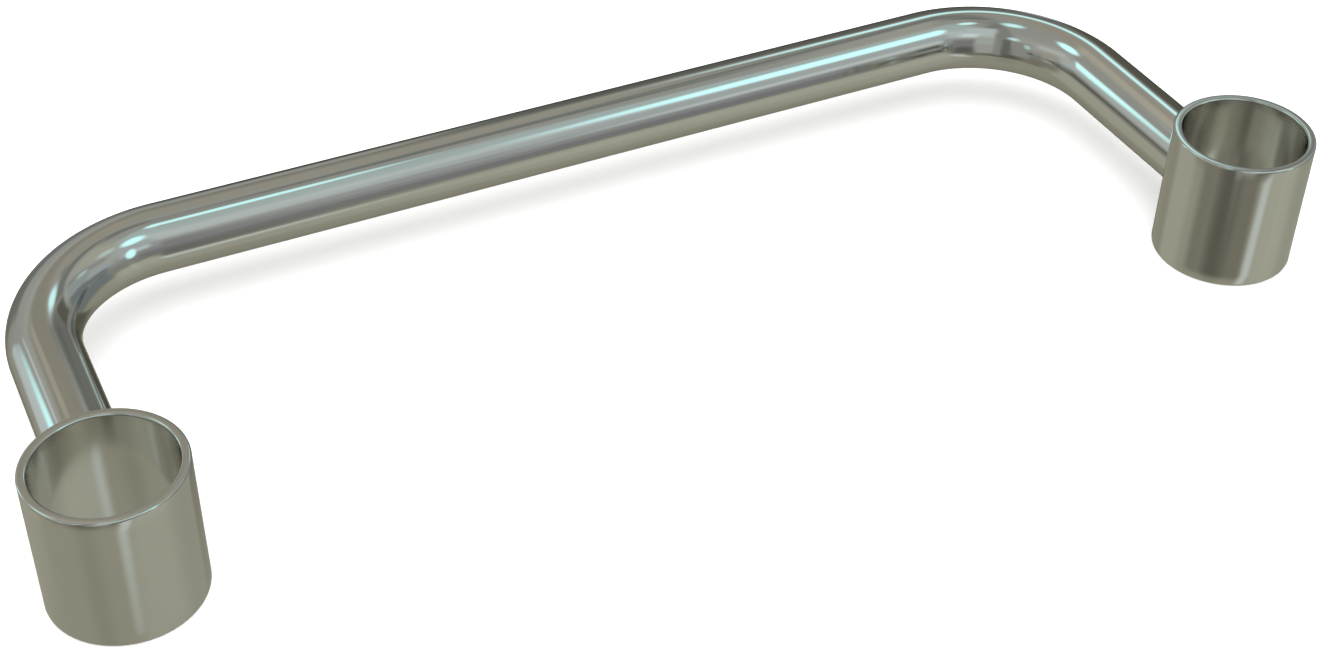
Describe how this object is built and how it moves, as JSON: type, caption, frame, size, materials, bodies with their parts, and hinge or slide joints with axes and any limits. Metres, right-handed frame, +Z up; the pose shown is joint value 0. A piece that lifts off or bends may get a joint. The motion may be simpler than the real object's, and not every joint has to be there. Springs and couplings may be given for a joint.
{
  "type": "pool handrail",
  "caption": "Grab rail for a pool: a round tube bent into a shallow U and welded to short open sleeves that drop over upright posts.",
  "frame": {"origin": "middle of the left sleeve's bore, at the sleeve's mid-height", "axes": "+Z up along the post, +X from the left sleeve to the right sleeve, +Y from the posts towards the grab rail"},
  "size_m": [0.5245, 0.1965, 0.057],
  "materials": {
    "rail_steel": "mirror-polished stainless steel tube",
    "sleeve_steel": "polished stainless steel, a little softer than the tube",
    "weld_steel": "dressed and polished stainless steel weld"
  },
  "bodies": {
    "root": {"rail_tube": "rail_steel", "left_sleeve": "sleeve_steel", "right_sleeve": "sleeve_steel", "left_weld_bead": "weld_steel", "right_weld_bead": "weld_steel"}
  },
  "joints": []
}
